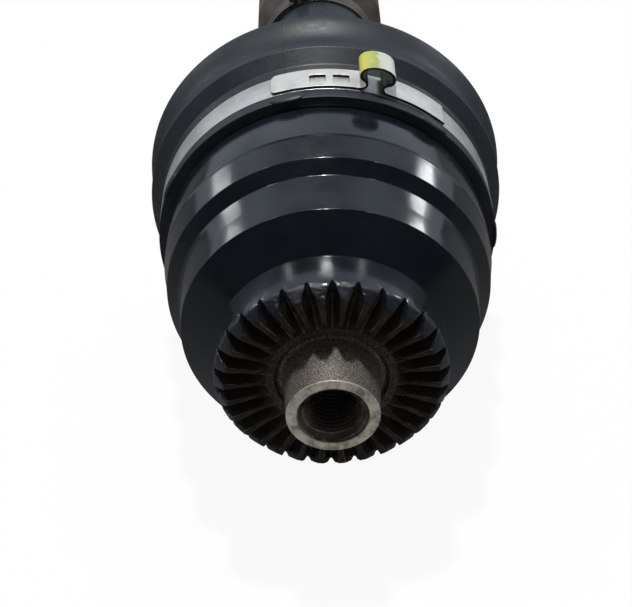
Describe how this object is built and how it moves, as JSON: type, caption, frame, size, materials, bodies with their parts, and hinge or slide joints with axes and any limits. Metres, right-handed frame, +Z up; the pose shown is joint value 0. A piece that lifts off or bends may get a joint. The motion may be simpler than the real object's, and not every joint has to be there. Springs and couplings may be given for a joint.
{
  "type": "half shaft",
  "caption": "Rear half shaft with a ball joint and toothed hub face at one end and a sliding tripod joint with a splined stub at the other, both in pleated boots.",
  "frame": {"origin": "centre of the hub spigot's end face", "axes": "+Y along the shaft from the hub end to the differential end, +Z up"},
  "size_m": [0.112, 0.631, 0.1152],
  "materials": {
    "housing": "gloss black paint with bare phosphated teeth and a machined end ring",
    "race_steel": "ground and hardened",
    "cage_steel": "phosphated",
    "ball_steel": "polished",
    "shaft_paint": "satin brown-grey coating",
    "shaft_steel": "satin brown-grey coating on forged steel",
    "boot_rubber": "satin",
    "adapter_rubber": "matte",
    "clamp_steel": "pale stainless strip",
    "spring_steel": "blued spring steel",
    "shield_steel": "black pressed sheet"
  },
  "bodies": {
    "shaft": {"shaft_tube": "shaft_paint", "outer_shaft_end": "shaft_steel", "inner_shaft_end": "shaft_steel", "outer_inner_race": "race_steel", "outer_race_clip": "spring_steel", "outer_boot_small_clamp": "clamp_steel", "inner_boot_small_clamp": "clamp_steel", "tripod_spider": "race_steel", "spider_clip": "spring_steel", "needles_lower_left": "ball_steel", "needles_lower_right": "ball_steel", "trunnion_washers": "race_steel", "trunnion_snap_rings": "spring_steel"},
    "right_ball": {"outer_ball_right": "ball_steel"},
    "left_ball": {"outer_ball_left": "ball_steel"},
    "cage": {"outer_ball_cage": "cage_steel", "outer_cage_balls": "ball_steel"},
    "hub_end": {"outer_joint_housing": "housing", "outer_boot": "boot_rubber", "outer_boot_large_clamp": "clamp_steel"},
    "top_needles": {"needles_top": "ball_steel"},
    "roller_top": {"roller_top": "race_steel"},
    "roller_lower_left": {"roller_lower_left": "race_steel"},
    "roller_lower_right": {"roller_lower_right": "race_steel"},
    "inner_boot": {"inner_boot": "boot_rubber"},
    "gearbox_end": {"inner_joint_housing": "housing", "stub_clip": "spring_steel", "stub_dust_shield": "shield_steel", "inner_boot_adapter": "adapter_rubber", "inner_boot_large_clamp": "clamp_steel"}
  },
  "joints": [
    {"name": "outer_yaw", "type": "hinge", "parent": "shaft", "child": "right_ball", "pos_m": [0, 0.056, 0], "axis": [0, 0, 1], "range_deg": [-8, 8]},
    {"name": "outer_pitch", "type": "hinge", "parent": "right_ball", "child": "left_ball", "pos_m": [0, 0.056, 0], "axis": [1, 0, 0], "range_deg": [-16, 16]},
    {"name": "outer_yaw_half", "type": "hinge", "parent": "left_ball", "child": "hub_end", "pos_m": [0, 0.056, 0], "axis": [0, 0, 1], "range_deg": [-8, 8], "deforming": ["outer_boot"]},
    {"name": "cage_pitch", "type": "hinge", "parent": "right_ball", "child": "cage", "pos_m": [0, 0.056, 0], "axis": [1, 0, 0], "range_deg": [-8, 8]},
    {"name": "inner_yaw", "type": "hinge", "parent": "shaft", "child": "top_needles", "pos_m": [0, 0.505, 0], "axis": [0, 0, 1], "range_deg": [-10, 10]},
    {"name": "inner_pitch", "type": "hinge", "parent": "top_needles", "child": "inner_boot", "pos_m": [0, 0.505, 0], "axis": [1, 0, 0], "range_deg": [-10, 10], "deforming": ["inner_boot"]},
    {"name": "inner_plunge", "type": "slide", "parent": "inner_boot", "child": "gearbox_end", "axis": [0, 1, 0], "range_m": [-0.018, 0.018]},
    {"name": "roller_top_spin", "type": "hinge", "parent": "shaft", "child": "roller_top", "pos_m": [0, 0.505, 0], "axis": [0, 0, 1], "range_deg": [-61.3, 61.3]},
    {"name": "roller_lower_left_spin", "type": "hinge", "parent": "shaft", "child": "roller_lower_left", "pos_m": [0, 0.505, 0], "axis": [-0.866, 0, -0.5], "range_deg": [-61.3, 61.3]},
    {"name": "roller_lower_right_spin", "type": "hinge", "parent": "shaft", "child": "roller_lower_right", "pos_m": [0, 0.505, 0], "axis": [0.866, 0, -0.5], "range_deg": [-61.3, 61.3]}
  ],
  "couplings": [
    {"joint": "outer_yaw_half", "follows": "outer_yaw", "ratio": 1},
    {"joint": "cage_pitch", "follows": "outer_pitch", "ratio": 0.5},
    {"joint": "roller_top_spin", "follows": "inner_plunge", "rad_per_m": 58.824},
    {"joint": "roller_lower_left_spin", "follows": "inner_plunge", "rad_per_m": 58.824},
    {"joint": "roller_lower_right_spin", "follows": "inner_plunge", "rad_per_m": 58.824}
  ]
}
